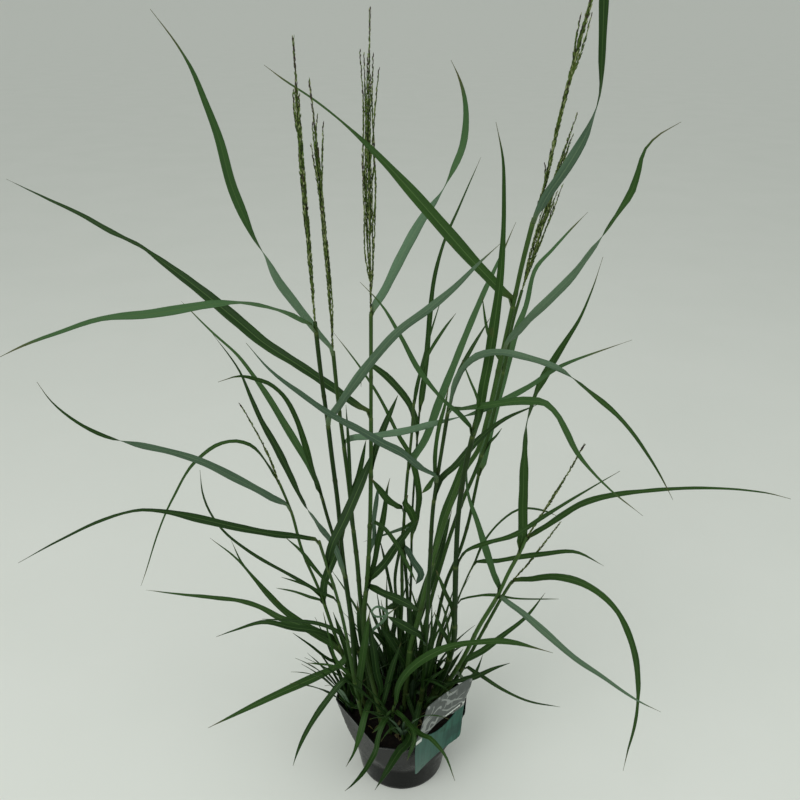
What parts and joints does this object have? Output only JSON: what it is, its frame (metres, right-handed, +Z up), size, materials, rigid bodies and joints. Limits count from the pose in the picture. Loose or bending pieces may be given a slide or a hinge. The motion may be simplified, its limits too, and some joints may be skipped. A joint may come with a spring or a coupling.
{
  "type": "potted switchgrass",
  "caption": "Clump of upright grass with arching blades and tall flower panicles, in a dark plastic nursery pot with a square rim and a folded card label on its edge.",
  "frame": {"origin": "centre of the pot's underside, on the surface that it stands on", "axes": "+Z up through the pot; -Y is the front, towards the picture's viewer; +X to the viewer's right"},
  "size_m": [1.0374, 0.5502, 1.1868],
  "materials": {
    "pot_plastic": "thin dark charcoal plastic, slightly glossy, dusty",
    "potting_soil": null,
    "label_card": "printed plastic card, teal below its slot and grey above",
    "stem": null,
    "leaf": null,
    "panicle": null
  },
  "bodies": {
    "root": {"label": "label_card", "leaf_01": "leaf", "leaf_02": "leaf", "leaf_03": "leaf", "leaf_04": "leaf", "leaf_05": "leaf", "leaf_06": "leaf", "leaf_07": "leaf", "leaf_08": "leaf", "leaf_09": "leaf", "leaf_10": "leaf", "leaf_11": "leaf", "leaf_12": "leaf", "leaf_13": "leaf", "leaf_14": "leaf", "leaf_15": "leaf", "leaf_16": "leaf", "leaf_17": "leaf", "leaf_18": "leaf", "leaf_19": "leaf", "leaf_20": "leaf", "leaf_21": "leaf", "leaf_22": "leaf", "leaf_23": "leaf", "leaf_24": "leaf", "leaf_25": "leaf", "leaf_26": "leaf", "leaf_27": "leaf", "leaf_28": "leaf", "leaf_29": "leaf", "leaf_30": "leaf", "panicle_01": "panicle", "panicle_02": "panicle", "panicle_03": "panicle", "panicle_04": "panicle", "panicle_05": "panicle", "pot": "pot_plastic", "soil": "potting_soil", "stem_01": "stem", "stem_02": "stem", "stem_03": "stem", "stem_04": "stem", "stem_05": "stem", "stem_06": "stem", "stem_07": "stem", "stem_08": "stem", "stem_09": "stem", "stem_10": "stem", "stem_11": "stem", "stem_12": "stem", "stem_13": "stem", "stem_14": "stem", "stem_15": "stem", "stem_16": "stem", "stem_17": "stem", "tuft_back": "leaf", "tuft_front": "leaf", "tuft_left": "leaf", "tuft_right": "leaf"}
  },
  "joints": []
}
